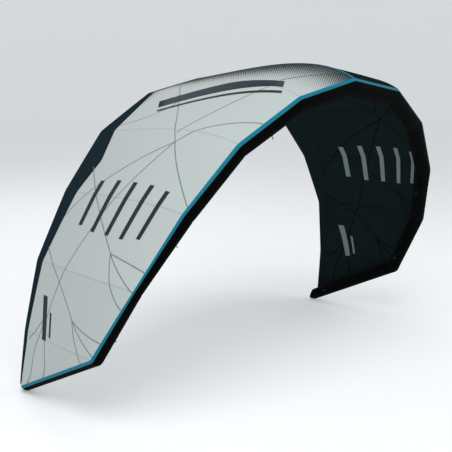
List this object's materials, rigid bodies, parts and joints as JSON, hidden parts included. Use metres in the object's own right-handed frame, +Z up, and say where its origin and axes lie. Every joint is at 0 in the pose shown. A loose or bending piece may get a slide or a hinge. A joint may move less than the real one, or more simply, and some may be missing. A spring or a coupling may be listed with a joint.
{
  "type": "kitesurf kite",
  "caption": "Arched kitesurf kite: inflatable leading-edge tube, single centre strut, cambered single-skin canopy, valves, and knotted pigtails for its lines.",
  "frame": {"origin": "under the middle of the kite, on the ground plane that the ends of both tip tubes touch (centre of the bounding box's bottom)", "axes": "+X along the span towards the right wing tip, +Y from the leading edge back to the trailing edge, +Z up, out of the top of the arch"},
  "size_m": [3.7702, 1.8468, 2.6022],
  "materials": {
    "canopy": "satin",
    "band": "satin",
    "casing": "matte",
    "piping": "satin",
    "bladder": "gloss",
    "plastic": "satin",
    "hose": "satin",
    "webbing": "matte",
    "cord": "matte"
  },
  "bodies": {
    "kite": {"edge_casing_1_right": "casing", "edge_casing_1_left": "casing", "edge_casing_2_right": "casing", "edge_casing_2_left": "casing", "edge_casing_3_right": "casing", "edge_casing_3_left": "casing", "edge_casing_4_right": "casing", "edge_casing_4_left": "casing", "edge_casing_5_right": "casing", "edge_casing_5_left": "casing", "edge_casing_6_right": "casing", "edge_casing_6_left": "casing", "canopy_panel_1_right": "canopy", "canopy_panel_1_left": "canopy", "canopy_panel_2_right": "canopy", "canopy_panel_2_left": "canopy", "canopy_panel_3_right": "canopy", "canopy_panel_3_left": "canopy", "canopy_panel_4_right": "canopy", "canopy_panel_4_left": "canopy", "canopy_panel_5_right": "canopy", "canopy_panel_5_left": "canopy", "canopy_panel_6_right": "canopy", "canopy_panel_6_left": "canopy", "trailing_band_right": "band", "trailing_band_left": "band", "edge_piping_right": "piping", "edge_piping_left": "piping", "centre_seam_tape": "piping", "edge_bladder": "bladder", "strut_casing": "casing", "strut_bladder": "bladder", "inflate_valve_base": "plastic", "deflate_valve_base": "plastic", "crossover_hose": "hose", "hose_clip_body": "plastic", "anchor_front_1_right": "webbing", "anchor_front_1_left": "webbing", "anchor_front_2_right": "webbing", "anchor_front_2_left": "webbing", "anchor_front_3_right": "webbing", "anchor_front_3_left": "webbing", "anchor_rear_right": "webbing", "anchor_rear_left": "webbing"},
    "tip_flap_right": {"tip_flap_right": "casing"},
    "tip_flap_left": {"tip_flap_left": "casing"},
    "strut_end_flap": {"strut_end_flap": "casing"},
    "inflate_valve_cap": {"inflate_valve_cap": "plastic"},
    "inflate_valve_disc": {"inflate_valve_disc": "plastic"},
    "deflate_valve_cap": {"deflate_valve_cap": "plastic"},
    "hose_clip_lever": {"hose_clip_lever": "plastic"},
    "pigtail_front_1_right": {"pigtail_front_1_right": "cord"},
    "pigtail_front_1_left": {"pigtail_front_1_left": "cord"},
    "pigtail_front_2_right": {"pigtail_front_2_right": "cord"},
    "pigtail_front_2_left": {"pigtail_front_2_left": "cord"},
    "pigtail_front_3_right": {"pigtail_front_3_right": "cord"},
    "pigtail_front_3_left": {"pigtail_front_3_left": "cord"},
    "pigtail_rear_right": {"pigtail_rear_right": "cord"},
    "pigtail_rear_left": {"pigtail_rear_left": "cord"}
  },
  "joints": [
    {"name": "tip_flap_right_hinge", "type": "hinge", "parent": "kite", "child": "tip_flap_right", "pos_m": [1.74632, 0.86776, 0.07879], "axis": [0.4101, 0.4281, 0.8053], "range_deg": [0, 100]},
    {"name": "tip_flap_left_hinge", "type": "hinge", "parent": "kite", "child": "tip_flap_left", "pos_m": [-1.74632, 0.86776, 0.07879], "axis": [0.4101, -0.4281, -0.8053], "range_deg": [0, 100]},
    {"name": "strut_end_flap_hinge", "type": "hinge", "parent": "kite", "child": "strut_end_flap", "pos_m": [0, 0.60468, 2.39064], "axis": [-1, 0, 0], "range_deg": [0, 100]},
    {"name": "inflate_cap_hinge", "type": "hinge", "parent": "kite", "child": "inflate_valve_cap", "pos_m": [-0.22861, -0.77687, 2.34221], "axis": [0.9847, -0.0174, 0.1736], "range_deg": [0, 110]},
    {"name": "inflate_disc_slide", "type": "slide", "parent": "kite", "child": "inflate_valve_disc", "axis": [-0.159, -0.4999, 0.8514], "range_m": [0, 0.0035]},
    {"name": "deflate_cap_hinge", "type": "hinge", "parent": "kite", "child": "deflate_valve_cap", "pos_m": [-1.68359, -0.26965, 0.92296], "axis": [0.1677, -0.4772, 0.8627], "range_deg": [0, 110]},
    {"name": "clip_lever_hinge", "type": "hinge", "parent": "kite", "child": "hose_clip_lever", "pos_m": [0.10626, -0.68628, 2.43642], "axis": [-0.3814, 0.4322, 0.8171], "range_deg": [0, 100]},
    {"name": "pigtail_front_1_right_swing", "type": "hinge", "parent": "kite", "child": "pigtail_front_1_right", "pos_m": [0.77987, -0.79158, 2.13673], "axis": [0.1603, -0.9857, -0.0523], "range_deg": [-60, 60]},
    {"name": "pigtail_front_1_left_swing", "type": "hinge", "parent": "kite", "child": "pigtail_front_1_left", "pos_m": [-0.77987, -0.79158, 2.13673], "axis": [-0.1603, -0.9857, -0.0523], "range_deg": [-60, 60]},
    {"name": "pigtail_front_2_right_swing", "type": "hinge", "parent": "kite", "child": "pigtail_front_2_right", "pos_m": [1.47084, -0.54761, 1.41206], "axis": [0.1913, -0.9391, -0.2854], "range_deg": [-60, 60]},
    {"name": "pigtail_front_2_left_swing", "type": "hinge", "parent": "kite", "child": "pigtail_front_2_left", "pos_m": [-1.47084, -0.54761, 1.41206], "axis": [-0.1913, -0.9391, -0.2854], "range_deg": [-60, 60]},
    {"name": "pigtail_front_3_right_swing", "type": "hinge", "parent": "kite", "child": "pigtail_front_3_right", "pos_m": [1.72731, -0.17979, 0.68302], "axis": [0.1253, -0.8783, -0.4615], "range_deg": [-60, 60]},
    {"name": "pigtail_front_3_left_swing", "type": "hinge", "parent": "kite", "child": "pigtail_front_3_left", "pos_m": [-1.72731, -0.17979, 0.68302], "axis": [-0.1253, -0.8783, -0.4615], "range_deg": [-60, 60]},
    {"name": "pigtail_rear_right_swing", "type": "hinge", "parent": "kite", "child": "pigtail_rear_right", "pos_m": [1.73848, 0.68345, 0.14994], "axis": [-0.0038, -0.4615, -0.8871], "range_deg": [-60, 60]},
    {"name": "pigtail_rear_left_swing", "type": "hinge", "parent": "kite", "child": "pigtail_rear_left", "pos_m": [-1.73848, 0.68345, 0.14994], "axis": [0.0038, -0.4615, -0.8871], "range_deg": [-60, 60]}
  ]
}
